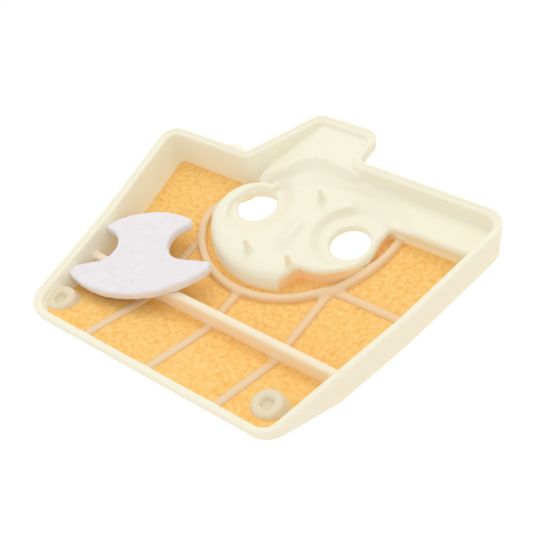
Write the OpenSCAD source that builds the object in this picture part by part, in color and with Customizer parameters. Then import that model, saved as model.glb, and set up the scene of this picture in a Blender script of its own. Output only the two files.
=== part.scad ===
// Half of a clamshell air filter for a small two-stroke engine.
// A shallow nylon tray with a raised dish for two studs, ribs over a sheet of
// filter felt that is moulded into its bottom, and a loose felt pad.
// Origin: midway between the two stud holes, on the underside of their seats.
// +X runs along the line of the holes, +Y towards the tab, +Z up to the rim.

/* [Tray] */
// height of the rim's top above the stud seats' underside
rim_z = 8.8; // [6:0.1:14]
// height of the tray's underside (below the seats, so negative)
base_z = -3.5; // [-8:0.1:-1]
// width of the rim
rim_w = 2.1; // [1.4:0.1:4]
// width of the raised outer lip on the rim
lip_w = 1.0; // [0.5:0.1:2]
// height of the lip above the inner ledge
lip_h = 0.7; // [0.3:0.1:1.5]
// how far the walls lean out between base and rim
wall_lean = 1.6; // [0:0.1:3]
// Y where the bottom starts to slope up to the front wall
slope_start_y = -38; // [-45:1:-30]
// rise of the sloping bottom per millimetre towards the front
slope = 0.405; // [0:0.005:0.6]

/* [Dish and studs] */
// distance between the two stud holes
stud_spacing = 31; // [26:0.5:36]
// diameter of each stud hole
stud_hole_d = 11.6; // [6:0.1:14]
// top of the stud seats
seat_z = 2; // [1:0.1:4]
// top of the dish floor
dish_z = 4; // [3:0.1:6]
// outer radius of the raised dish
dish_r = 24.6; // [20:0.1:28]
// top of the tab's floor
tab_z = 7; // [5:0.1:8]
// thickness of the moulded skins
skin = 2; // [1.2:0.1:3]

/* [Ribs and felt] */
// top of the felt sheet where it lies flat
felt_z = -1.7; // [-3:0.1:0]
// thickness of the felt sheet
felt_t = 1.2; // [0.6:0.1:2]
// height of the low ribs above the felt
rib_h = 1.2; // [0.6:0.1:3]
// width of the low ribs
rib_w = 2.2; // [1:0.1:3]
// top of the main rib
main_rib_z = 3.3; // [0:0.1:6]
// width of the main rib at its top
main_rib_w = 2.4; // [1:0.1:4]
// distance between the ribs that run front to back
rib_pitch = 21.8; // [15:0.1:30]

/* [Posts and pins] */
// diameter of the two corner posts
post_d = 7.7; // [5:0.1:10]
// top of the corner posts
post_z = 6; // [4:0.1:8]
// side of the square socket in each post
socket_w = 2.6; // [1.5:0.1:4]
// diameter of the three locating pins
pin_d = 1.3; // [0.8:0.1:2.5]
// height of the locating pins above the dish floor
pin_h = 4.2; // [2:0.1:6]

/* [Loose felt pad] */
// thickness of the pad
pad_t = 3.2; // [1.5:0.1:4]
// radius of the pad's two side notches
pad_notch_r = 6.4; // [5:0.1:7]
// how far the pad is turned from the line of the holes
pad_turn = 28.5; // [0:0.5:90]

/* [Hidden] */
$fn = 96;
// corners of the rim's outer edge, anticlockwise: x, y, radius
c_front_left = [-45.6, -60.2, 7.5];
c_front_right = [35.4, -59.6, 6];
c_right_bend = [45.4, -17.5, 0];
c_back_right = [51.9, 20.5, 6];
c_tab_inside = [5.6, 20.9, 1.5];
c_tab_right = [5.4, 32, 4.2];
c_tab_left = [-15.2, 32, 4.2];
c_notch = [-25.8, 11, 1.5];
c_back_left = [-55.4, 10.6, 5];
c_left_bend = [-49.3, -24.8, 0];
rim = [c_front_left, c_front_right, c_right_bend, c_back_right, c_tab_inside,
       c_tab_right, c_tab_left, c_notch, c_back_left, c_left_bend];
count = len(rim);
foot_w = rim_w + 1.5;
felt_under = felt_z - felt_t;
dish_c = [-3.7, 2.9];
seat_out_r = 11.4;
land_c = [10.5, -1.8];
ring_r = 27.4;
ring_w = 1.8;
ring_top = 0.1;
ring_c = [-3.5, 2.8];
side_c = [-7.6, 6.2];
side_r = 34;
plate_y = 8.2;
tab_wall_y = 21.4;
tab_wall_z = 4.8;
left_post = [-40.8, -51.9];
right_post = [28.3, -50.4];
pad_c = [-30.9, -29.1];
rib_x0 = -3.7;

function pt(i) = rim[(i + count) % count];
function dir(i) = let (d = [pt(i + 1)[0] - pt(i)[0], pt(i + 1)[1] - pt(i)[1]]) d / norm(d);
function heading(i) = atan2(dir(i)[1], dir(i)[0]);
function turn(i) = let (t = heading(i) - heading(i - 1)) t > 180 ? t - 360 : t < -180 ? t + 360 : t;
function cut(i) = pt(i)[2] * tan(abs(turn(i)) / 2);
function left_of(d) = [-d[1], d[0]];
function corner(i) = [pt(i)[0], pt(i)[1]];
function arc_centre(i) = corner(i) - dir(i - 1) * cut(i)
  + left_of(dir(i - 1)) * pt(i)[2] * sign(turn(i));
// plain polygon of the rim, moved in by d along every edge
function inset_pt(i, d) = corner(i)
  + (left_of(dir(i - 1)) + left_of(dir(i))) * d / (1 + dir(i - 1) * dir(i));
function inset(d) = [for (i = [0 : count - 1]) inset_pt(i, d)];
function mirror_d(p, r, s) = [for (q = p) [r - s * q[0], q[1]]];

// section of the wall: x inwards from the rim's outer edge, y up
wall_section = [
  [0, rim_z],
  [wall_lean, base_z + 0.8],
  [wall_lean + 0.8, base_z],
  [foot_w, base_z],
  [foot_w, felt_z],
  [rim_w, rim_z - lip_h],
  [lip_w, rim_z - lip_h],
  [lip_w, rim_z],
];
// the wall and the space outside it, out to w beyond the rim
function outside(w) = [
  [foot_w, base_z - 1],
  [foot_w, felt_z],
  [rim_w, rim_z - lip_h],
  [rim_w, rim_z + 1],
  [-w, rim_z + 1],
  [-w, base_z - 1],
];

module run(i, section, extra = 0) {
  start = corner(i) + dir(i) * (cut(i) - extra);
  len = norm(corner(i + 1) - corner(i)) - cut(i) - cut(i + 1) + 2 * extra;
  translate([start[0], start[1], 0])
    rotate([0, 0, heading(i)])
      rotate([90, 0, 90])
        linear_extrude(len)
          polygon(section);
}

module bend(i, section) {
  s = sign(turn(i));
  c = arc_centre(i);
  translate([c[0], c[1], 0])
    rotate([0, 0, heading(i - 1) - s * 90])
      rotate_extrude(angle = turn(i))
        polygon(mirror_d(section, pt(i)[2], s));
}

// everything under the sloping bottom, moved up by lift
module under_slope(lift = 0) {
  y1 = slope_start_y;
  z1 = base_z + lift;
  rotate([90, 0, 90])
    translate([0, 0, -80])
      linear_extrude(160)
        polygon([[y1, z1], [y1, z1 - 20], [-80, z1 - 20], [-80, z1 + (y1 + 80) * slope]]);
}

// the walls' own space and some way beyond, to trim what meets them
module wall_space() {
  for (i = [0 : count - 1]) {
    run(i, outside(4), 0.02);
    if (pt(i)[2] > 0)
      bend(i, outside(turn(i) > 0 ? 4 : 1));
  }
}

// what lies between the walls
module between_walls() {
  difference() {
    translate([0, 0, -20])
      linear_extrude(60)
        polygon(inset(1.2));
    wall_space();
  }
}

module disc(c, r, z0, z1) {
  translate([c[0], c[1], z0])
    cylinder(r = r, h = z1 - z0);
}

module slab(x0, y0, z0, x1, y1, z1) {
  translate([x0, y0, z0])
    cube([x1 - x0, y1 - y0, z1 - z0]);
}

// ---- walls ----

// run i with its end, or its start, cut on the line that halves a sharp corner
module mitred_run(i, at_end) {
  j = at_end ? i + 1 : i;
  difference() {
    run(i, wall_section, 1);
    translate([corner(j)[0], corner(j)[1], 0])
      rotate([0, 0, (heading(j - 1) + heading(j)) / 2 + (at_end ? 0 : 180)])
        translate([0, -20, -20])
          cube(40);
    other = at_end ? i : i + 1;
    side = at_end ? 180 : 0;
    end = corner(other) + dir(i) * (at_end ? cut(other) : -cut(other));
    translate([end[0], end[1], 0])
      rotate([0, 0, heading(i) + side])
        translate([0, -20, -20])
          cube(40);
  }
}

module left_wall_rear() {
  color("#F1EEDC")
    mitred_run(8, true);
}

module left_wall_front() {
  color("#F1EEDC")
    difference() {
      mitred_run(9, false);
      under_slope();
    }
}

module front_left_corner() {
  color("#F1EEDC")
    difference() {
      bend(0, wall_section);
      under_slope();
    }
}

module front_wall() {
  color("#F1EEDC")
    difference() {
      run(0, wall_section);
      under_slope();
    }
}

module front_right_corner() {
  color("#F1EEDC")
    difference() {
      bend(1, wall_section);
      under_slope();
    }
}

module right_wall_front() {
  color("#F1EEDC")
    difference() {
      mitred_run(1, true);
      under_slope();
    }
}

module right_wall_rear() {
  color("#F1EEDC")
    mitred_run(2, false);
}

module back_right_corner() {
  color("#F1EEDC")
    bend(3, wall_section);
}

module back_right_wall() {
  color("#F1EEDC") {
    run(3, wall_section);
    bend(4, wall_section);
  }
}

// space under the tab, whose walls stop short of the base
module under_tab() {
  slab(-40, tab_wall_y, -20, 40, 60, tab_wall_z);
}

module tab_right_wall() {
  color("#F1EEDC")
    difference() {
      run(4, wall_section);
      under_tab();
    }
}

module tab_right_corner() {
  color("#F1EEDC")
    difference() {
      bend(5, wall_section);
      under_tab();
    }
}

module tab_back_wall() {
  color("#F1EEDC")
    difference() {
      run(5, wall_section);
      under_tab();
    }
}

module tab_left_corner() {
  color("#F1EEDC")
    difference() {
      bend(6, wall_section);
      under_tab();
    }
}

module tab_left_wall() {
  color("#F1EEDC")
    difference() {
      run(6, wall_section);
      under_tab();
    }
}

module back_left_wall() {
  color("#F1EEDC") {
    bend(7, wall_section);
    run(7, wall_section);
  }
}

module back_left_corner() {
  color("#F1EEDC")
    bend(8, wall_section);
}

module notch_clip() {
  color("#F1EEDC")
    difference() {
      translate([0, 0, 4.5])
        linear_extrude(3.9)
          polygon([[-32.8, 9.6], [-32.5, 12.2], [-29, 12.2], [-27, 11.2], [-27, 9.6]]);
      wall_trim();
    }
}

// full-height solid of the back-left wall, so that the clip only touches it
module wall_trim() {
  run(7, [[0, rim_z], [wall_lean, base_z + 0.8], [6, base_z + 0.8], [6, rim_z]]);
}

// ---- raised floors ----

module dish_plan(grow = 0) {
  difference() {
    translate(dish_c)
      circle(r = dish_r + grow);
    translate([8.6 + grow, -40])
      square([40, 80]);
  }
  intersection() {
    translate(land_c)
      circle(r = 12.4 + grow);
    translate([-2, -30])
      square([40, 60]);
  }
  translate([0, -2])
    square([land_c[0] + 12.3 + grow, plate_y + 2.1]);
}

function stud(s) = [s * stud_spacing / 2, 0];

// lowered seat round one stud hole: s is -1 on the left, 1 on the right
module stud_seat(s) {
  difference() {
    intersection() {
      disc(stud(s), seat_out_r, 0, dish_z);
      translate([0, 0, -1])
        linear_extrude(20)
          dish_plan();
    }
    translate([stud(s)[0], 0, seat_z])
      cylinder(r1 = 7.8, r2 = 10, h = dish_z - seat_z + 0.2);
    translate([stud(s)[0], 0, 0])
      rotate([0, 0, s > 0 ? -12 : 150])
        slab(0, -8.3, seat_z, 16, 8.3, 12);
    disc(stud(s), stud_hole_d / 2, -6, 12);
    tab_space();
  }
}

module left_stud_seat() {
  color("#F4F1DE")
    stud_seat(-1);
}

module right_stud_seat() {
  color("#F4F1DE")
    stud_seat(1);
}

// dish floor round the two stud seats
module dish_floor() {
  color("#F4F1DE")
    difference() {
      intersection() {
        translate([0, 0, dish_z - skin])
          linear_extrude(skin)
            dish_plan();
        between_walls();
      }
      for (s = [-1, 1])
        disc(stud(s), seat_out_r, -6, 12);
      tab_space();
    }
}

// wall that carries the dish down to the felt, open underneath
module dish_skirt() {
  color("#F4F1DE")
    difference() {
      translate([0, 0, base_z])
        linear_extrude(dish_z - skin - base_z)
          difference() {
            dish_plan();
            dish_plan(-1.6);
          }
      for (s = [-1, 1])
        disc(stud(s), seat_out_r, 0, dish_z);
      translate([-60, plate_y - 1.6, -20])
        cube([120, 60, 40]);
      tab_space();
    }
}

module tab_plan() {
  polygon([[-18.7, 9.4], [-13, 12.9], [-11, 15.6], [-8, 18], [-4, 18.9], [0, 18.9], [4, 17.8],
           [6.5, 17.4], [8.5, 19.2], [9, 30], [7, 40], [-22, 40], [-30, 12], [-24.5, 8.6]]);
}

module tab_space() {
  translate([0, 0, -20])
    linear_extrude(60)
      tab_plan();
}

// floor of the tab, with the curved step down to the dish
module tab_floor() {
  color("#F4F1DE")
    difference() {
      intersection() {
        translate([0, 0, dish_z - skin])
          linear_extrude(tab_z - dish_z + skin)
            tab_plan();
        between_walls();
      }
      translate([0, 0, 1])
        linear_extrude(tab_z - skin - 1)
          polygon([[-17, 17], [-9, 21], [2, 21], [2, 28.5], [-13, 28.5]]);
      under_tab();
    }
}

// raised floor of the back-right corner
module corner_plate() {
  color("#F4F1DE")
    difference() {
      intersection() {
        union() {
          slab(-40, plate_y, dish_z - skin, 60, 30, dish_z);
          slab(land_c[0] + 12.3, plate_y, base_z, 60, plate_y + 1.6, dish_z);
        }
        between_walls();
      }
      tab_space();
      translate([0, 0, -20])
        linear_extrude(60)
          union() {
            dish_plan();
            translate([-60, -20])
              square([60, 60]);
          }
    }
}

// ---- ribs ----

module ring_space(grow = 0) {
  disc(ring_c, ring_r + grow, -20, 20);
  intersection() {
    disc(side_c, side_r + grow, -20, 20);
    slab(10, -15.2, -20, 40, plate_y + 0.01, 20);
  }
}

// low rib that rings the dish
module dish_ring() {
  color("#F3E6C8")
    difference() {
      intersection() {
        translate([0, 0, felt_z])
          linear_extrude(ring_top - felt_z)
            difference() {
              union() {
                translate(ring_c)
                  circle(r = ring_r);
                intersection() {
                  translate(side_c)
                    circle(r = side_r);
                  translate([17.4, -14.9])
                    square([20, 40]);
                }
              }
              difference() {
                translate(ring_c)
                  circle(r = ring_r - ring_w);
                translate([16.1, -13.8])
                  square([20, 40]);
              }
              intersection() {
                translate(side_c)
                  circle(r = side_r - ring_w);
                translate([16.1, -13.8])
                  square([20, 40]);
              }
            }
        slab(-40, -40, -10, 40, plate_y, 10);
      }
      translate([0, 0, -20])
        linear_extrude(60)
          dish_plan();
    }
}

module main_rib() {
  color("#F3E6C8")
    intersection() {
      rotate([90, 0, 90])
        translate([0, 0, -56])
          linear_extrude(110)
            polygon([[-36.6, felt_z], [-36.2, main_rib_z], [-36.2 + main_rib_w, main_rib_z],
                     [-33.6, felt_z]]);
      between_walls();
    }
}

// rib that climbs the sloping felt to the front wall
module front_rib(x) {
  y0 = -36.6;
  y1 = slope_start_y;
  y2 = -60;
  intersection() {
    translate([x - rib_w / 2, 0, 0])
      rotate([90, 0, 90])
        linear_extrude(rib_w)
          polygon([[y0, felt_z], [y1, felt_z], [y2, felt_z + (y1 - y2) * slope],
                   [y2, felt_z + rib_h + (y1 - y2) * slope], [y1, felt_z + rib_h],
                   [y0, felt_z + rib_h]]);
    between_walls();
  }
}

module front_ribs() {
  color("#F3E6C8")
    for (k = [-1 : 1])
      front_rib(rib_x0 + k * rib_pitch);
}

module middle_ribs() {
  color("#F3E6C8")
    difference() {
      for (k = [-1 : 1])
        slab(rib_x0 + k * rib_pitch - rib_w / 2, -33.6, felt_z,
             rib_x0 + k * rib_pitch + rib_w / 2, -8, felt_z + rib_h);
      ring_space();
    }
}

module side_rib() {
  color("#F3E6C8")
    difference() {
      intersection() {
        slab(15, -13.9, felt_z, 50, -13.9 + rib_w, felt_z + rib_h);
        between_walls();
      }
      ring_space();
      middle_ribs();
    }
}

// ---- posts and pins ----

module post(c) {
  color("#F4F1DE")
    difference() {
      intersection() {
        disc(c, post_d / 2, felt_z, post_z);
        between_walls();
      }
      translate([c[0] - socket_w / 2, c[1] - socket_w / 2, post_z - 2.4])
        cube([socket_w, socket_w, 5]);
      under_slope(felt_z - base_z);
    }
}

module left_post() {
  post(left_post);
}

module right_post() {
  post(right_post);
}

module locating_pins() {
  color("#EFEBD6")
    for (p = [[1.5, 7.8], [-5.9, -15], [7, -14.2]])
      disc(p, pin_d / 2, dish_z, dish_z + pin_h);
}

// ---- felt ----

// one bent sheet: flat under the bays, sloping up to the front wall
module filter_felt() {
  y1 = slope_start_y;
  dy = y1 + 62;
  color("#F7B04A")
    difference() {
      intersection() {
        rotate([90, 0, 90])
          translate([0, 0, -70])
            linear_extrude(140)
              polygon([[30, felt_under], [y1, felt_under], [-62, felt_under + dy * slope],
                       [-62, felt_z + dy * slope], [y1, felt_z], [30, felt_z]]);
        between_walls();
      }
      translate([0, 0, -20])
        linear_extrude(60)
          dish_plan();
      slab(0, plate_y, -20, 60, 40, 20);
      tab_space();
    }
}

// thin frame under the felt that holds it up
module underside_frame() {
  y1 = slope_start_y;
  dy = y1 + 62;
  color("#F3E6C8")
    difference() {
      intersection() {
        rotate([90, 0, 90])
          translate([0, 0, -70])
            linear_extrude(140)
              polygon([[30, base_z], [y1, base_z], [-62, base_z + dy * slope],
                       [-62, felt_under + dy * slope], [y1, felt_under], [30, felt_under]]);
        translate([0, 0, -20])
          linear_extrude(40) {
            difference() {
              polygon(inset(1));
              polygon(inset(foot_w + 1.8));
            }
            translate([-60, -36.4])
              square([120, 2]);
            for (k = [-1 : 1])
              translate([rib_x0 + k * rib_pitch - rib_w / 2, -60])
                square([rib_w, 50]);
            translate(ring_c)
              circle(r = ring_r);
          }
        between_walls();
      }
      translate([0, 0, -20])
        linear_extrude(60)
          dish_plan();
      slab(0, plate_y, -20, 60, 40, 20);
      tab_space();
    }
}

// loose pad, waisted by two side notches, with one wide and one narrow end
module felt_pad() {
  color("#F4F1F2")
    translate([pad_c[0], pad_c[1], main_rib_z + 0.05])
      rotate([0, 0, pad_turn])
        linear_extrude(pad_t)
          difference() {
            intersection() {
              translate([0.4, 13.6])
                circle(r = 28);
              translate([0, -9.9])
                circle(r = 22.8);
              translate([-18.5, -16])
                square([38.6, 32]);
            }
            for (s = [-1, 1])
              scale([s, 1]) {
                translate([13.7, 2])
                  circle(r = pad_notch_r);
                polygon([[13.6, -4.4], [24, -5.9], [24, 14], [12.2, 14], [12.2, 6.5]]);
              }
          }
}

left_wall_rear();
left_wall_front();
front_left_corner();
front_wall();
front_right_corner();
right_wall_front();
right_wall_rear();
back_right_corner();
back_right_wall();
tab_right_wall();
tab_right_corner();
tab_back_wall();
tab_left_corner();
tab_left_wall();
back_left_wall();
back_left_corner();
notch_clip();
dish_floor();
left_stud_seat();
right_stud_seat();
dish_skirt();
tab_floor();
corner_plate();
dish_ring();
main_rib();
front_ribs();
middle_ribs();
side_rib();
left_post();
right_post();
locating_pins();
filter_felt();
underside_frame();
felt_pad();
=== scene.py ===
"""The open half of a two-part air filter housing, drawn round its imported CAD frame.

A cream nylon tray is moulded round a sheet of orange felt, and a loose white felt pad lies in it.
The tray's parts are drawn in millimetres as signed distance fields (negative inside, zero on the
surface), so that they run into each other with the soft fillets of one moulding. Each part is
then meshed as its own piece.
"""

import math

import bpy
import numpy as np
from mathutils import Matrix, Vector, noise


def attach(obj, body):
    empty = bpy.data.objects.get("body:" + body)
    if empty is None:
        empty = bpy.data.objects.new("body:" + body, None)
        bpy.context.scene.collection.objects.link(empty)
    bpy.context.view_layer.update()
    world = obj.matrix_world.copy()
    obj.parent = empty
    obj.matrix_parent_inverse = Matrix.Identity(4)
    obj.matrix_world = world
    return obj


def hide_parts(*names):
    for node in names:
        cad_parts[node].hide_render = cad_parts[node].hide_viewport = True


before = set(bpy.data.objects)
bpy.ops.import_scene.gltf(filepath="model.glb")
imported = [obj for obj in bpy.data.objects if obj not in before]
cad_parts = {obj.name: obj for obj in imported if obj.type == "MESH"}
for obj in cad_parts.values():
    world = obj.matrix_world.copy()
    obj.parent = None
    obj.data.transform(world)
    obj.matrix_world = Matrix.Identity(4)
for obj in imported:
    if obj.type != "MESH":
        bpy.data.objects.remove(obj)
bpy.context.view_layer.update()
MM = 0.001


# ---- Tray wall ----
# The stepped wall round the tray: cream nylon, injection moulded, leaning in towards its foot.
# Its top carries a narrow outer lip that locates the other half of the housing.

RIM_Z = 8.8
FOOT_Z = -3.5
FELT_Z = -1.7
RIM_OUTLINE = [
    (-45.6, -59.9, 7.5),
    (35.4, -59.4, 6),
    (45.4, -17.5, 14),
    (51.9, 20.5, 6),
    (5.6, 20.9, 1.5),
    (5.4, 32, 4.2),
    (-15.2, 32, 4.2),
    (-25.8, 11, 1.5),
    (-55.4, 10.6, 5),
    (-49.3, -24.8, 14),
]
WALL_SECTION = [
    (0, RIM_Z),
    (1.6, -2.7),
    (2.4, FOOT_Z),
    (3.8, FOOT_Z),
    (3.8, FELT_Z),
    (2.3, 8.0),
    (1.15, 8.1),
    (1.0, RIM_Z),
]
SLOPE = 0.405
TAB_WALL_Y = 21.4
TAB_WALL_Z = 4.8
SLOPE_Y = -38
VOXEL = 0.4
GRID_LOW = np.array([-57.6, -62.4, -5.6])
GRID_HIGH = np.array([54.4, 34.4, 10.8])
EDGE_SOFTNESS = 0.32
WALL_INSIDE = 2.6


def axes(low, high, step):
    """The grid's x, y and z values, each shaped to spread over the whole grid."""
    counts = np.ceil((high - low) / step).astype(int) + 1
    lines = [low[i] + step * np.arange(counts[i], dtype=np.float32) for i in range(3)]
    return np.ix_(*[line.astype(np.float32) for line in lines])


def round_outline(corners):
    """Corners (x, y, radius) as a closed line of points with true arcs."""
    points = []
    for i, (x, y, radius) in enumerate(corners):
        here = Vector((x, y))
        back = (Vector(corners[i - 1][:2]) - here).normalized()
        ahead = (Vector(corners[(i + 1) % len(corners)][:2]) - here).normalized()
        half = back.angle(ahead) / 2
        centre = here + (back + ahead).normalized() * radius / math.sin(half)
        start = here + back * radius / math.tan(half) - centre
        turn = start.angle_signed(here + ahead * radius / math.tan(half) - centre)
        steps = max(3, round(abs(turn) * 8))
        for k in range(steps + 1):
            spun = Matrix.Rotation(-turn * k / steps, 2) @ start
            points.append(tuple(centre + spun))
    return points


def polygon(px, py, points):
    """Signed distance to a closed outline of points."""
    best = np.full(np.broadcast(px, py).shape, 1e9, np.float32)
    inside = np.zeros(best.shape, bool)
    for (ax, ay), (bx, by) in zip(points, points[1:] + points[:1]):
        dx, dy = bx - ax, by - ay
        along = np.clip(((px - ax) * dx + (py - ay) * dy) / (dx * dx + dy * dy), 0, 1)
        best = np.minimum(best, (px - ax - along * dx) ** 2 + (py - ay - along * dy) ** 2)
        if dy != 0:
            inside ^= ((ay > py) != (by > py)) & (px < ax + (py - ay) * dx / dy)
    return np.where(inside, -1, 1).astype(np.float32) * np.sqrt(best)


def circle(centre, radius):
    """Signed distance to a disc seen from above."""
    return np.sqrt((X - centre[0]) ** 2 + (Y - centre[1]) ** 2) - radius


def either(a, b, soft=0.01):
    """Two shapes together, with a fillet of about that many millimetres."""
    mix = np.clip(0.5 + 0.5 * (b - a) / soft, 0, 1)
    return b + (a - b) * mix - soft * mix * (1 - mix)


def both(a, b, soft=0.01):
    """What two shapes share, with its edges rounded."""
    return -either(-a, -b, soft)


X, Y, Z = axes(GRID_LOW, GRID_HIGH, VOXEL)
rim = polygon(X, Y, round_outline(RIM_OUTLINE))
underside = (FOOT_Z + SLOPE * np.maximum(0, SLOPE_Y - Y) - Z) / math.hypot(1, SLOPE)
felt_top = FELT_Z + SLOPE * np.maximum(0, SLOPE_Y - Y)
wall = both(polygon(-rim, Z, WALL_SECTION), underside, 0.8)
# next to the notch on the right the cut starts a little earlier, but a small stub still hangs
right_end = both(19.6 - Y, both(X - 5, -5 - X))
under_tab = both(np.minimum(TAB_WALL_Y - Y, right_end), Z - TAB_WALL_Z)
parts = {"tray_wall": both(wall, -under_tab, 0.5)}
room_inside = rim + WALL_INSIDE


# ---- Raised floors ----
# The dish, its two stud seats, the tab floor and the corner plate: nylon 2 mm thick, one
# continuous skin that steps from level to level. Studs pass through the two seats, and each
# seat has a low wall half way round it.

DISH_Z = 4
SEAT_Z = 2
TAB_Z = 7
SKIN = 2
STUD_X = 15.5
HOLE_R = 5.4
OPEN_FOOT_R = 5.4
COLLAR_LOW = -0.1
DISH = ((-3.7, 2.9), 24.6)
LAND = ((10.2, -1.5), 11.8)
LAND_END = 21.9
LEFT_BOSS = ((-15.5, -2.5), 9.8)
PLATE_Y = 8.2
TAB_EDGE = [
    (-18.4, 8.4),
    (-12.9, 12),
    (-10.9, 15.6),
    (-7.5, 18),
    (-2.7, 18.6),
    (2.6, 17.9),
    (7, 17),
]
TAB_TOP = [*TAB_EDGE, (12, 23), (9, 40), (-22, 40), (-28, 12.5), (-24.8, 8.8)]
BACK_FOOT = [
    (-60, 1),
    (-24, 3.6),
    (-18, 6.2),
    (-11.6, 7.4),
    (-6.9, 9.4),
    (-2.3, 12),
    (4.1, 12.7),
    (11, 14),
]
DISH_BACK = [*BACK_FOOT, (60, 30), (60, -60), (-60, -60)]


def ramp(inner, outer):
    """0 inside the inner outline, 1 outside the outer one, a straight slope between them."""
    return np.clip(inner / np.maximum(inner - outer, 1e-3), 0, 1)


def inside_boss(boss):
    """Everything but the back left, where the dish keeps close round the left seat."""
    (x, y), radius = boss
    return either(either(circle((x, y), radius), x - X, 0.5), Y - y + 3, 3)


def ahead_of(origin, degrees):
    """How far a place lies beyond a point in one direction."""
    turn = math.radians(degrees)
    return (X - origin[0]) * math.cos(turn) + (Y - origin[1]) * math.sin(turn)


def seat_drop(foot, brim, stud, opening, open_brim_r):
    """How far the floor dips round a stud: steeply on one side, gently in the open direction."""
    behind = -ahead_of(stud, opening)
    low = np.minimum(circle(*foot), np.maximum(behind, circle(stud, OPEN_FOOT_R)))
    high = np.minimum(circle(*brim), np.maximum(behind - 0.8, circle(stud, open_brim_r)))
    return (DISH_Z - SEAT_Z) * (1 - ramp(low, high))


tab_top = polygon(X, Y, TAB_TOP)
dish_back = polygon(X, Y, DISH_BACK)
drop = seat_drop(((15, 1.4), 8.3), ((15.4, 0), 10.2), (STUD_X, 0), 26, 17)
drop = drop + seat_drop(((-15.9, 0.4), 7.6), ((-15.4, -0.6), 11.2), (-STUD_X, 0), 150, 30)
saddle = 1.2 * np.exp(-(((X - 1.2) / 1.7) ** 2) - ((Y + 5.5) / 5) ** 4)
step_down = ramp(tab_top, -dish_back)
step_down = np.minimum(1.67 * step_down, 0.44 + 0.56 * step_down)
tab_level = TAB_Z - 0.42 * np.maximum(0, -12.5 - X) - 1.3 * np.maximum(0, -20.5 - X)
top = (DISH_Z - drop + saddle) * step_down + tab_level * (1 - step_down)
top = np.minimum(top, tab_level + 3 * np.maximum(0, 8.4 - Y))

dish_round = both(circle(*DISH), inside_boss(LEFT_BOSS))
cut_line = X - 8.8 - 0.45 * np.minimum(0, Y + 13)
dish_disc = both(dish_round, cut_line, 0.8)
dish_area = either(dish_disc, both(circle(*LAND), -2 - X, 1), 1.2)
land_block = both(both(Y - PLATE_Y - 0.8, -2 - Y), both(-X, X - LAND_END))
dish_area = either(dish_area, land_block, 1)
corner_area = both(PLATE_Y - Y, 8.6 - X, 4)
floor_area = either(either(dish_area, corner_area, 3), tab_top, 5)
floor_area = both(floor_area, -both(X + 24.4, 5.5 - Y), 0.5)
floor_area = both(floor_area, room_inside, 0.2)
holes = np.minimum(circle((STUD_X, 0), HOLE_R), circle((-STUD_X, 0), HOLE_R))
skin = SKIN - 0.9 * np.clip(-circle((-STUD_X, 0), 11) / 2, 0, 1)
floors = both(both(Z - top, top - skin - Z, 0.3) * 0.9, floor_area, 1)
dome_edge = both(circle(*DISH), Z - DISH_Z - 0.2 - saddle, 5.5)
dome_edge = dome_edge - 4 * np.clip(cut_line, 0, 4) - 4 * np.clip(Y - 5, 0, 4)
# behind the left stud the skirt stops just above the felt, to open the way down its hole
skirt_foot = np.where((X < -10) & (Y > -3), -1.4, FOOT_Z)
skirt = both(np.abs(both(dome_edge, dish_round) + 0.9) - 0.8, skirt_foot - Z)
skirt = both(skirt, Z - DISH_Z + 0.6)
skirt = both(skirt, both(-dish_round - 3.4, both(Y - 8, cut_line + 0.1)))
floors = both(floors, dome_edge, 0.3)
front_step = both(LAND_END - X, both(Z - DISH_Z + 1, FOOT_Z - Z))
front_step = both(np.abs(Y - PLATE_Y - 0.8) - 0.8, front_step)
back_step = both(np.abs(tab_top - 0.1) - 0.8, both(Z - tab_level + 1, skirt_foot - Z))
back_step = both(back_step, both(X + 13, 7 - Y))
floors = either(floors, both(either(skirt, either(front_step, back_step)), room_inside), 0.6)
collar = both(circle((STUD_X, 0), HOLE_R + 1.6), both(Z - SEAT_Z + 0.6, COLLAR_LOW - Z))
floors = either(floors, collar, 0.5)
floors = both(floors, -holes, 0.35)
land_wall = both(np.abs(dish_area + 0.75) - 0.7, both(Z - top + 1, FOOT_Z - Z))
land_wall = both(land_wall, dome_edge + 0.4)
parts["land_wall"] = both(land_wall, both(-1.2 - cut_line, Y - PLATE_Y))

# which of the floors a place belongs to, for the split into pieces
zones = {
    "left_stud_seat": np.maximum(circle((-STUD_X, 0), 11.4), dish_area + 0.05),
    "right_stud_seat": np.maximum(circle((STUD_X, 0), 11.4), dish_area + 0.05),
    "tab_floor": tab_top - 0.9,
    "corner_plate": np.maximum(corner_area, -dish_area),
}
zones["dish_floor"] = -np.minimum.reduce(list(zones.values()))


# ---- Ribs ----
# The ring round the dish and the straight ribs that hold the felt down: nylon, moulded over the
# felt. The main rib stands well clear of it and the others only a little. The front ribs climb
# the sloping felt.

RIB_W = 2.5
RIB_H = 0.9
RIB_X = [-25.0, -3.4, 18.3]
RING = ((-3.8, 2.5), 28.0)
SIDE_RING = ((-7.6, 6.2), 34.0)
RING_W = 2.3
RING_Z = 0.1
MAIN_RIB_Z = 3.3
MAIN_RIB_Y = -35.2
SIDE_RIB_Y = -13.1

ring_line = both(circle(*RING), ahead_of((-30.6, -3.6), 141.3), 6) + RING_W / 2
side_line = circle(*SIDE_RING) + RING_W / 2
ring = np.abs(ring_line) - RING_W / 2
ring = np.maximum(ring, np.minimum(X - 17.4, Y + 14.6))
side_ring = np.maximum(np.abs(side_line) - RING_W / 2, np.maximum(16.6 - X, -14.2 - Y))
ring = np.maximum(np.minimum(ring, side_ring), Y - np.where(X < 0, 5.5, 8))
ring = np.maximum(ring, -np.maximum(3 - Y, np.abs(X + 6) - 15.5))
ring_rise = 0.18 * np.maximum(0, Y + 3) * (X < 0)
ring_height = np.maximum(Z - RING_Z - ring_rise, felt_top - 1 - Z)
parts["dish_ring"] = both(ring, ring_height, 0.5)

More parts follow.
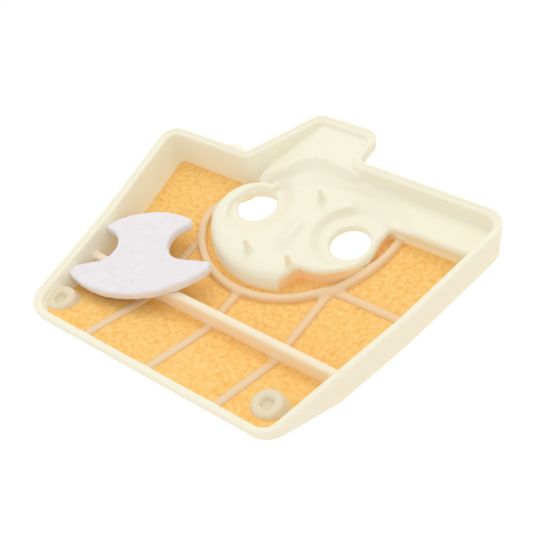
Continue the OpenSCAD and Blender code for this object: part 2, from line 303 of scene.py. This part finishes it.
main_rib = np.abs(Y - MAIN_RIB_Y - 0.1 * (Z - 1)) - 1.2
main_rib = both(main_rib, both(Z - MAIN_RIB_Z, felt_top - 1 - Z), 0.5)
parts["main_rib"] = both(main_rib, room_inside)
low_rib = both(Z - felt_top - RIB_H, felt_top - 1 - Z)
for k, x in enumerate(RIB_X):
    line = np.abs(X - x) - RIB_W / 2
    front = both(line, both(Y + 35.5, room_inside))
    middle = both(line, both(-35 - Y, np.maximum(-ring_line, Y)))
    parts[f"front_rib_{k + 1}"] = both(front, low_rib, 0.4)
    parts[f"middle_rib_{k + 1}"] = both(middle, low_rib, 0.4)
side = both(np.abs(Y - SIDE_RIB_Y) - RIB_W / 2, both(-side_line, both(14 - X, room_inside)))
parts["side_rib"] = both(side, low_rib, 0.5)


# ---- Posts, pins and clip ----
# Two posts with square sockets take the other half's pegs, three thin pins stand on the dish
# floor, and a small clip bridges the notch in the back wall. All are part of the moulding.

POSTS = {"left_post": (-40.8, -51.9), "right_post": (28.3, -50.4)}
POST_R = 3.85
POST_Z = 6
SOCKET = 2.7
PINS = [(1.5, 7.8), (-5.9, -15), (7, -14.2)]
PIN_Z = 8.2
PIN_R = 0.9
CLIP = [(-32.8, 10), (-32.4, 12.3), (-29, 12.3), (-27, 11.4), (-27, 10)]

for name, (x, y) in POSTS.items():
    body = both(circle((x, y), POST_R) + np.maximum(0.3 * (Z - POST_Z), -1.1), Z - POST_Z, 0.3)
    socket = both(np.abs(X - x) - SOCKET / 2, np.abs(Y - y) - SOCKET / 2, 0.5)
    body = both(body, -both(socket, POST_Z - 1.2 - Z), 0.2)
    parts[name] = both(body, both(felt_top - 1 - Z, room_inside))
for k, centre in enumerate(PINS):
    pin = both(circle(centre, PIN_R) + 0.02 * (Z - DISH_Z), Z - PIN_Z, 0.2)
    parts[f"pin_{k + 1}"] = both(pin, DISH_Z - 0.8 - Z)
clip = both(polygon(X, Y, CLIP), both(Z - 8.3, 4.5 - Z), 0.6)
parts["notch_clip"] = both(clip, -rim - 1.4)


# ---- One moulding, many pieces ----
# Joins the fields with fillets, softens every edge as a mould does, and meshes each part apart.
# Past its own border a part sinks under its neighbour, so that no seam shows between them.

FILLET = 0.9
SINK = 0.3
OVERLAP = 1.0
REPLACED = {
    "tray_wall": [
        "left_wall_rear",
        "left_wall_front",
        "front_left_corner",
        "front_wall",
        "front_right_corner",
        "right_wall_front",
        "right_wall_rear",
        "back_right_corner",
        "back_right_wall",
        "tab_right_wall",
        "tab_right_corner",
        "tab_back_wall",
        "tab_left_corner",
        "tab_left_wall",
        "back_left_wall",
        "back_left_corner",
    ],
    "dish_floor": ["dish_floor", "dish_skirt"],
    "land_wall": ["dish_skirt"],
    "front_rib_1": ["front_ribs"],
    "front_rib_2": ["front_ribs"],
    "front_rib_3": ["front_ribs"],
    "middle_rib_1": ["middle_ribs"],
    "middle_rib_2": ["middle_ribs"],
    "middle_rib_3": ["middle_ribs"],
    "pin_1": ["locating_pins"],
    "pin_2": ["locating_pins"],
    "pin_3": ["locating_pins"],
}


def softened(field, width):
    """A field averaged over about a millimetre, which rounds every edge."""
    reach = math.ceil(2.5 * width / VOXEL)
    weights = np.exp(-0.5 * (np.arange(-reach, reach + 1) * VOXEL / width) ** 2)
    weights /= weights.sum()
    for axis in range(3):
        padded = np.pad(field, [(reach, reach) if a == axis else (0, 0) for a in range(3)], "edge")
        spans = [np.take(padded, range(i, i + field.shape[axis]), axis) for i in range(len(weights))]
        field = sum(weight * span for weight, span in zip(weights, spans))
    return field.astype(np.float32)


def sampled(field, places):
    """A field's values at places given in grid steps, read between its eight nearest points."""
    places = np.clip(places, 0, np.array(field.shape) - 1.001)
    low = places.astype(int)
    share = places - low
    value = 0
    for corner in np.ndindex(2, 2, 2):
        weight = np.prod(np.where(corner, share, 1 - share), 1)
        i, j, k = (low + corner).T
        value = value + weight * field[i, j, k]
    return value


def surface(field):
    """Points, in grid steps, and four-sided faces of the surface where a field is zero."""
    inside = field < 0
    spans = [slice(0, -1), slice(1, None)]
    corners = list(np.ndindex(2, 2, 2))
    count = sum(inside[spans[i], spans[j], spans[k]].astype(np.int8) for i, j, k in corners)
    active = (count > 0) & (count < 8)
    cells = np.argwhere(active)
    number = np.full(active.shape, -1)
    number[active] = np.arange(len(cells))
    values = np.stack([field[tuple((cells + corner).T)] for corner in corners], 1)
    total = np.zeros((len(cells), 3))
    crossings = np.zeros((len(cells), 1))
    for a, b in [(a, b) for a in range(8) for b in range(a) if bin(a ^ b).count("1") == 1]:
        crossed = (values[:, a] < 0) != (values[:, b] < 0)
        share = values[crossed, a] / (values[crossed, a] - values[crossed, b])
        start, step = np.array(corners[a]), np.subtract(corners[b], corners[a])
        total[crossed] += start + step * share[:, None]
        crossings[crossed] += 1
    faces = []
    for axis in range(3):
        u, v = np.eye(3, dtype=int)[(axis + 1) % 3], np.eye(3, dtype=int)[(axis + 2) % 3]
        first = np.take(inside, range(inside.shape[axis] - 1), axis)
        second = np.take(inside, range(1, inside.shape[axis]), axis)
        for leaving in (True, False):
            edges = np.argwhere((first != second) & (first == leaving))
            edges = edges[((edges > 0) | (np.arange(3) == axis)).all(1)]
            ring_of_cells = [edges, edges - u, edges - u - v, edges - v]
            face = np.stack([number[tuple(c.T)] for c in ring_of_cells], 1)
            faces.append(face if leaving else face[:, ::-1])
    return cells + total / crossings, np.concatenate(faces)


def mesh_piece(name, field, low, shared=None):
    """A mesh object of a field's surface. shared is the field whose slope gives its normals."""
    edges = np.argwhere(field < 3 * VOXEL)
    start = np.maximum(edges.min(0) - 2, 0)
    window = tuple(slice(a, b + 3) for a, b in zip(start, edges.max(0)))
    field = field[window]
    places, faces = surface(field)
    slopes = np.gradient(field)
    for _ in range(2):
        slope = np.stack([sampled(s, places) for s in slopes], 1)
        size = np.maximum((slope**2).sum(1), 0.05 * VOXEL**2)
        step = np.clip(sampled(field, places) / size, -0.4 / VOXEL, 0.4 / VOXEL)
        places = places - slope * step[:, None]
    normals = np.stack([sampled(s, places) for s in slopes], 1)
    if shared is not None:
        shared = shared[window]
        outer = np.abs(sampled(shared, places)) < 0.25 * VOXEL
        common = np.stack([sampled(s, places) for s in np.gradient(shared)], 1)
        normals[outer] = common[outer]
    normals /= np.maximum(np.linalg.norm(normals, axis=1, keepdims=True), 1e-9)
    mesh = bpy.data.meshes.new(name)
    points = (low + (places + start) * VOXEL) * MM
    mesh.from_pydata(points.tolist(), [], faces.tolist())
    mesh.polygons.foreach_set("use_smooth", np.ones(len(mesh.polygons), bool))
    mesh.normals_split_custom_set_from_vertices(normals.tolist())
    made = bpy.data.objects.new(name, mesh)
    bpy.context.scene.collection.objects.link(made)
    return made


moulding = floors
for part in parts.values():
    moulding = either(moulding, part, FILLET)
moulding = softened(moulding + 0 * (X + Y + Z), EDGE_SOFTNESS)
for name, zone in zones.items():
    parts[name] = np.maximum(floors, zone)
grown = {name: np.broadcast_to(part, moulding.shape) for name, part in parts.items()}
nearest = np.full(moulding.shape, 1e3, np.float32)
second = nearest.copy()
for part in grown.values():
    second = np.minimum(second, np.maximum(nearest, part))
    nearest = np.minimum(nearest, part)

nylon_pieces = {}
for name, part in grown.items():
    border = part - np.where(part <= nearest, second, nearest)
    own = np.maximum(moulding + SINK * np.maximum(0, border), border - OVERLAP)
    piece = mesh_piece("moulded_" + name, own, GRID_LOW, moulding)
    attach(piece, "housing")
    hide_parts(*REPLACED.get(name, [name]))
    nylon_pieces[name] = piece


# ---- Nylon ----
# Natural, undyed nylon: milky cream with a soft gloss. Low down it is painted warmer: painted light
# from the orange felt, which shows through it where it is thin. The glow and the warm tint are
# painted light, standing in for light that real nylon scatters inside itself.

NYLON_GLOW = 0.09
# painted shade on the outer faces: its colour, and the most of it that they take
OUTER_SHADE_COLOUR = "#F4E9D8"
OUTER_SHADE_SHARE = 0.55


def srgb(text):
    """A hex colour as the linear values that a shader takes."""
    parts_255 = [int(text[i : i + 2], 16) / 255 for i in (1, 3, 5)]
    linear = [c / 12.92 if c < 0.04045 else ((c + 0.055) / 1.055) ** 2.4 for c in parts_255]
    return (*linear, 1)


def add(tree, kind, settings=None, links=None):
    """One shader node: settings are its properties or its sockets' values, links its inputs."""
    made = tree.nodes.new("ShaderNode" + kind)
    for key, value in (settings or {}).items():
        if hasattr(made, key):
            setattr(made, key, value)
        else:
            made.inputs[key].default_value = value
    for key, source in (links or {}).items():
        tree.links.new(source, made.inputs[key])
    return made


def new_material(name, settings):
    """A material with one Principled shader, ready to be linked to."""
    made = bpy.data.materials.new(name)
    made.use_nodes = True
    tree = made.node_tree
    tree.nodes.clear()
    shader = add(tree, "BsdfPrincipled", settings)
    add(tree, "OutputMaterial", links={"Surface": shader.outputs["BSDF"]})
    return made, tree, shader


def blend_colours(tree, share, dark, light):
    """A colour ramp from one colour to the other along a value."""
    made = add(tree, "ValToRGB", links={"Fac": share})
    made.color_ramp.elements[0].color = srgb(dark)
    made.color_ramp.elements[1].color = srgb(light)
    return made.outputs["Color"]


def nylon(name, high_colour, low_colour, low_from, low_to):
    """Moulded nylon that goes from one colour to the other between two heights, in mm. The low colour is
    painted light from the felt.
    """
    made, tree, shader = new_material(name, {"IOR": 1.53, "Specular IOR Level": 0.4})
    # light that the milky plastic carries into its own shade
    shader.inputs["Emission Color"].default_value = srgb(low_colour)
    shader.inputs["Emission Strength"].default_value = NYLON_GLOW
    place = add(tree, "TexCoord").outputs["Object"]
    cloud = add(tree, "TexNoise", {"Scale": 90, "Detail": 3}, {"Vector": place})
    grain = add(tree, "TexNoise", {"Scale": 1500, "Detail": 2}, {"Vector": place})
    height = add(tree, "SeparateXYZ", links={"Vector": place})
    uneven = {"To Min": -0.5 * MM, "To Max": 0.5 * MM}
    wobble = add(tree, "MapRange", uneven, {"Value": cloud.outputs["Fac"]})
    warped = add(tree, "Math", {"operation": "ADD"})
    tree.links.new(height.outputs["Z"], warped.inputs[0])
    tree.links.new(wobble.outputs["Result"], warped.inputs[1])
    limits = {"From Min": low_to * MM, "From Max": low_from * MM, "interpolation_type": "SMOOTHSTEP"}
    share = add(tree, "MapRange", limits, {"Value": warped.outputs["Value"]})
    colour = blend_colours(tree, share.outputs["Result"], low_colour, high_colour)
    # painted shade: outer faces lean down towards the table, and are painted darker and yellower than
    # the inner ones
    facing = add(tree, "SeparateXYZ", links={"Vector": add(tree, "TexCoord").outputs["Normal"]})
    lean = {"From Min": 0.02, "From Max": -0.08, "To Max": OUTER_SHADE_SHARE}
    outer = add(tree, "MapRange", lean, {"Value": facing.outputs["Z"]})
    shaded_colour = add(tree, "Mix", {"data_type": "RGBA", "blend_type": "MULTIPLY"})
    tree.links.new(outer.outputs["Result"], shaded_colour.inputs["Factor"])
    tree.links.new(colour, shaded_colour.inputs[6])
    shaded_colour.inputs[7].default_value = srgb(OUTER_SHADE_COLOUR)
    tree.links.new(shaded_colour.outputs[2], shader.inputs["Base Color"])
    bump = add(tree, "Bump", {"Strength": 0.12, "Distance": 0.05 * MM}, {"Height": grain.outputs["Fac"]})
    tree.links.new(bump.outputs["Normal"], shader.inputs["Normal"])
    gloss = add(tree, "MapRange", {"To Min": 0.36, "To Max": 0.5}, {"Value": cloud.outputs["Fac"]})
    tree.links.new(gloss.outputs["Result"], shader.inputs["Roughness"])
    return made


# the thick parts stay cream almost down to the felt
wall_nylon = nylon("natural_nylon_satin", "#ECE8D3", "#F3EAD0", 2.5, -3.5)
# the floors are the palest part, well clear of the felt
floor_nylon = nylon("natural_nylon_pale", "#E8E5D1", "#F8E5B6", 0.8, -1.7)
# the main rib, and the frame under the felt, are painted with its orange light all the way up
rib_nylon = nylon("natural_nylon_warm_painted_felt_light", "#EEE0C6", "#F0DDBC", 2.5, -1.0)
# the low ribs and the ring are the warmest: painted orange light from the felt under them
low_rib_nylon = nylon("natural_nylon_low_rib_painted_felt_light", "#E4C9A2", "#E7C498", 1.5, -1.5)
# the posts are painted warm too, and a little darker: painted shade
shaded_post_nylon = nylon("natural_nylon_post_painted_shade", "#DDD0B4", "#EBD2A8", 3.5, -1.0)
# the wall under the dish's cut edge is thin, and is painted peach: painted shade, tinted by orange light
# from the felt
felt_lit_edge_nylon = nylon("natural_nylon_edge_painted_felt_light", "#F8DFB4", "#F7D3A0", 3.0, 0.0)
for name, piece in nylon_pieces.items():
    finish = wall_nylon
    if name in zones:
        finish = floor_nylon
    elif name == "land_wall":
        finish = felt_lit_edge_nylon
    elif name in POSTS:
        finish = shaded_post_nylon
    elif name == "main_rib":
        finish = rib_nylon
    elif "rib" in name or "ring" in name:
        finish = low_rib_nylon
    piece.data.materials.append(finish)
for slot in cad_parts["underside_frame"].material_slots:
    slot.material = rib_nylon


# ---- Filter felt ----
# One bent sheet of orange nonwoven felt, 1.2 mm thick, moulded into the tray's floor and
# climbing to the front wall. It swells a little between the ribs that hold it down.

FELT_T = 1.2
FELT_STEP = 0.6


def noise_at(points, scale, seed):
    """Smooth noise at points in millimetres, one feature every scale millimetres."""
    return np.array([noise.noise(Vector(p) / scale + Vector((seed, 0, 0))) for p in points])


def field_at(field, points):
    """A flat field's value at points in millimetres."""
    flat = np.broadcast_to(field, (*np.broadcast(X, Y).shape[:2], 1))
    places = (points - GRID_LOW) / VOXEL
    places[:, 2] = 0
    return sampled(np.repeat(flat, 2, 2), places)


def level_at(y):
    """The felt's top where ribs hold it down: level, then climbing to the front wall."""
    return FELT_Z + SLOPE * np.maximum(0, SLOPE_Y - y)


ribs_above = np.minimum.reduce(
    [np.broadcast_to(np.abs(X - x), np.broadcast(X, Y).shape) for x in RIB_X]
    + [np.broadcast_to(np.abs(Y + 35.3), np.broadcast(X, Y).shape)]
    + [np.abs(ring_line)]
    + [np.broadcast_to(np.abs(Y - SIDE_RIB_Y) + 30 * (X < 17), np.broadcast(X, Y).shape)]
    + [-rim - 2.5]
)
xs = np.arange(-56, 53, FELT_STEP)
ys = np.arange(-61, 22, FELT_STEP)
plan = np.array([(x, y, 0) for x in xs for y in ys], float)
in_bays = (field_at(rim, plan) < -1.9) & (field_at(dish_area, plan) > -2.2)
in_bays &= ~((plan[:, 0] > -22) & (plan[:, 1] > 6.5) & (plan[:, 0] < 20))
in_bays &= field_at(tab_top, plan) > -0.6
in_bays &= (plan[:, 1] < 8.8) | (plan[:, 0] < 0)
in_bays &= (np.hypot(plan[:, 0] + STUD_X, plan[:, 1]) > 10.8) | (field_at(dish_area, plan) > 0.2)
swell = np.clip(field_at(ribs_above, plan) / 6, 0, 1)
tufts = noise_at(plan, 2.6, 3) * 0.12 + noise_at(plan, 1.1, 7) * 0.1 + noise_at(plan, 9, 11) * 0.08
upper = plan.copy()
upper[:, 2] = level_at(plan[:, 1]) + 0.45 * np.sin(swell * math.pi / 2) + tufts
lower = plan.copy()
lower[:, 2] = level_at(plan[:, 1]) - FELT_T
columns = len(ys)
quads = []
for i in range(len(xs) - 1):
    for j in range(columns - 1):
        a = i * columns + j
        corner_ids = (a, a + columns, a + columns + 1, a + 1)
        if in_bays[list(corner_ids)].all():
            quads.append(corner_ids)
used = sorted({v for q in quads for v in q})
order = {v: k for k, v in enumerate(used)}
sides = {}
for q in quads:
    for a, b in zip(q, q[1:] + q[:1]):
        if (b, a) in sides:
            del sides[(b, a)]
        else:
            sides[(a, b)] = True
n_used = len(used)
felt_faces = [tuple(order[v] for v in q) for q in quads]
felt_faces += [tuple(order[v] + n_used for v in reversed(q)) for q in quads]
felt_faces += [(order[b], order[a], order[a] + n_used, order[b] + n_used) for a, b in sides]
felt_mesh = bpy.data.meshes.new("filter_felt")
felt_points = np.concatenate([upper[used], lower[used]]) * MM
felt_mesh.from_pydata(felt_points.tolist(), [], felt_faces)
felt_mesh.polygons.foreach_set("use_smooth", np.ones(len(felt_mesh.polygons), bool))
felt = bpy.data.objects.new("orange_felt_sheet", felt_mesh)
bpy.context.scene.collection.objects.link(felt)
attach(felt, "housing")
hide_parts("filter_felt")

# orange nonwoven: a mottle of pale and deep orange tufts, with fine crossing fibres
felt_material, tree, shader = new_material(
    "orange_nonwoven_felt", {"Roughness": 0.95, "Specular IOR Level": 0.1}
)
place = add(tree, "TexCoord").outputs["Object"]
mottle = add(tree, "TexNoise", {"Scale": 750, "Detail": 4, "Roughness": 0.6}, {"Vector": place})
patches = add(tree, "TexNoise", {"Scale": 70, "Detail": 2}, {"Vector": place})
fibres = add(tree, "TexNoise", {"Scale": 1400, "Detail": 4, "Distortion": 1.5}, {"Vector": place})
mix = add(tree, "Math", {"operation": "MULTIPLY_ADD"})
tree.links.new(patches.outputs["Fac"], mix.inputs[0])
mix.inputs[1].default_value = 0.15
tree.links.new(mottle.outputs["Fac"], mix.inputs[2])
spread = add(tree, "MapRange", {"From Min": 0.36, "From Max": 0.8}, {"Value": mix.outputs["Value"]})
colours = add(tree, "ValToRGB", links={"Fac": spread.outputs["Result"]})
colours.color_ramp.elements[0].color = srgb("#F7B95C")
colours.color_ramp.elements[1].color = srgb("#FFDB92")
middle_tone = colours.color_ramp.elements.new(0.5)
middle_tone.color = srgb("#FDCD7C")
tree.links.new(colours.outputs["Color"], shader.inputs["Base Color"])
bump = add(tree, "Bump", {"Strength": 0.5, "Distance": 0.25 * MM}, {"Height": fibres.outputs["Fac"]})
tree.links.new(bump.outputs["Normal"], shader.inputs["Normal"])
felt_mesh.materials.append(felt_material)


# ---- Felt pad ----
# A loose pad of thick white pressed felt, die-cut with a waist, lying across the main rib with
# one end at the left wall. It is drawn 0.2 mm clear of the rib, and that end cuts up to 1.1 mm
# into the wall, a fault.

PAD_C = (-31.2, -29.1)
PAD_TURN = 28.5
PAD_Z = 3.35
PAD_T = 3.0
PAD_NOTCH_R = 6.4
PAD_LOW = np.array([-21.0, -18.0, -1.2])
PAD_HIGH = np.array([23.0, 18.0, 4.8])

tray_grid = (X, Y, Z)
X, Y, Z = axes(PAD_LOW, PAD_HIGH, VOXEL)
pad_plan = both(circle((0.4, 13.6), 28.4), circle((0, -9.9), 22.8))
pad_plan = both(pad_plan, both(-18.9 - X, X - 19.6), 0.3)
# the right notch is cut 1 mm nearer the middle than the left one
for s, inset in ((-1, 0), (1, 1)):
    notch = circle((s * (13.7 - inset), 2), PAD_NOTCH_R)
    outline = [(13.6, -4.4), (26, -6.2), (26, 16), (12.2, 16), (12.2, 6.5)]
    flare = polygon(s * X + inset, Y, outline)
    pad_plan = both(pad_plan, -either(notch, flare, 0.5), 0.3)
pad_field = both(pad_plan - 0.6, np.abs(Z - PAD_T / 2) - PAD_T / 2, 0.7)
pad = mesh_piece("white_felt_pad", softened(pad_field + 0 * Z, 0.35), PAD_LOW)
X, Y, Z = tray_grid
pad_points = np.array([v.co for v in pad.data.vertices]) / MM
pad_normals = np.array([v.normal for v in pad.data.vertices])
fuzz = noise_at(pad_points, 6, 1) * 0.18 + noise_at(pad_points, 1.6, 5) * 0.1
fuzz = fuzz + noise_at(pad_points, 0.7, 9) * 0.05
pad_points += pad_normals * (fuzz[:, None] - 0.1)
pad.data.vertices.foreach_set("co", (pad_points * MM).ravel())
to_place = Matrix.Translation((PAD_C[0] * MM, PAD_C[1] * MM, (PAD_Z + 0.15) * MM))
pad.data.transform(to_place @ Matrix.Rotation(math.radians(PAD_TURN), 4, "Z"))
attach(pad, "pad")
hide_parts("felt_pad")

# white pressed felt: matt, faintly mottled, with short fibres lying every way
pad_material, tree, shader = new_material(
    "white_pressed_felt", {"Roughness": 0.95, "Specular IOR Level": 0.1, "Sheen Weight": 0.15}
)
place = add(tree, "TexCoord").outputs["Object"]
mottle = add(tree, "TexNoise", {"Scale": 350, "Detail": 5, "Roughness": 0.6}, {"Vector": place})
colour = blend_colours(tree, mottle.outputs["Fac"], "#E4DFE2", "#F6F3F5")
tree.links.new(colour, shader.inputs["Base Color"])
fibres = add(tree, "TexNoise", {"Scale": 1600, "Detail": 4, "Distortion": 2.0}, {"Vector": place})
bump = add(tree, "Bump", {"Strength": 0.5, "Distance": 0.15 * MM}, {"Height": fibres.outputs["Fac"]})
tree.links.new(bump.outputs["Normal"], shader.inputs["Normal"])
pad.data.materials.append(pad_material)


# ---- Floor ----
# A plain white surface under the tray. Its white is mostly its own glow, so that the tray's
# shadow on it stays faint.

FLOOR_SIZE = 4.0
FLOOR_GLOW = 0.97

floor_mesh = bpy.data.meshes.new("floor")
half = FLOOR_SIZE / 2
floor_level = FOOT_Z * MM - 0.0002
square = [(-half, -half), (half, -half), (half, half), (-half, half)]
floor_mesh.from_pydata([(x, y, floor_level) for x, y in square], [], [(0, 1, 2, 3)])
floor = bpy.data.objects.new("floor", floor_mesh)
bpy.context.scene.collection.objects.link(floor)
floor_material, tree, shader = new_material(
    "white_table", {"Base Color": srgb("#404040"), "Roughness": 0.9, "Specular IOR Level": 0.0}
)
shader.inputs["Emission Color"].default_value = srgb("#FFFFFF")
shader.inputs["Emission Strength"].default_value = FLOOR_GLOW
floor_mesh.materials.append(floor_material)


# ---- Light ----
# Soft and bright from all round, with a large panel above and behind on the left.

world = bpy.data.worlds.new("studio")
bpy.context.scene.world = world
world.use_nodes = True
background = world.node_tree.nodes["Background"]
background.inputs["Color"].default_value = srgb("#FFFFFF")
background.inputs["Strength"].default_value = 0.895

key_data = bpy.data.lights.new("key", "AREA")
key_data.shape = "DISK"
key_data.size = 0.5
key_data.energy = 0.9
key_data.color = srgb("#FFFDF8")[:3]
key = bpy.data.objects.new("key", key_data)
key.location = (-0.25, 0.35, 0.6)
key.rotation_euler = (-Vector(key.location)).to_track_quat("-Z", "Y").to_euler()
bpy.context.scene.collection.objects.link(key)


# ---- Camera ----
# Above the front right corner, looking down across the tray at about 48 degrees.

EYE = Vector((140.25, -120.91, 191.25))
TARGET = Vector((7.89, -19.35, 4))
ROLL = math.radians(-19.9)
LENS = 64.54
SENSOR = 36

back = (EYE - TARGET).normalized()
level = Vector((0, 0, 1)).cross(back).normalized()
upright = back.cross(level)
right = level * math.cos(ROLL) + upright * math.sin(ROLL)
up = upright * math.cos(ROLL) - level * math.sin(ROLL)
camera_data = bpy.data.cameras.new("camera")
camera_data.lens = LENS
camera_data.sensor_width = SENSOR
camera_data.clip_start = 0.01
camera = bpy.data.objects.new("camera", camera_data)
camera.matrix_world = Matrix.Translation(EYE * MM) @ Matrix((right, up, back)).transposed().to_4x4()
bpy.context.scene.collection.objects.link(camera)
bpy.context.scene.camera = camera
bpy.context.scene.view_settings.view_transform = "Standard"
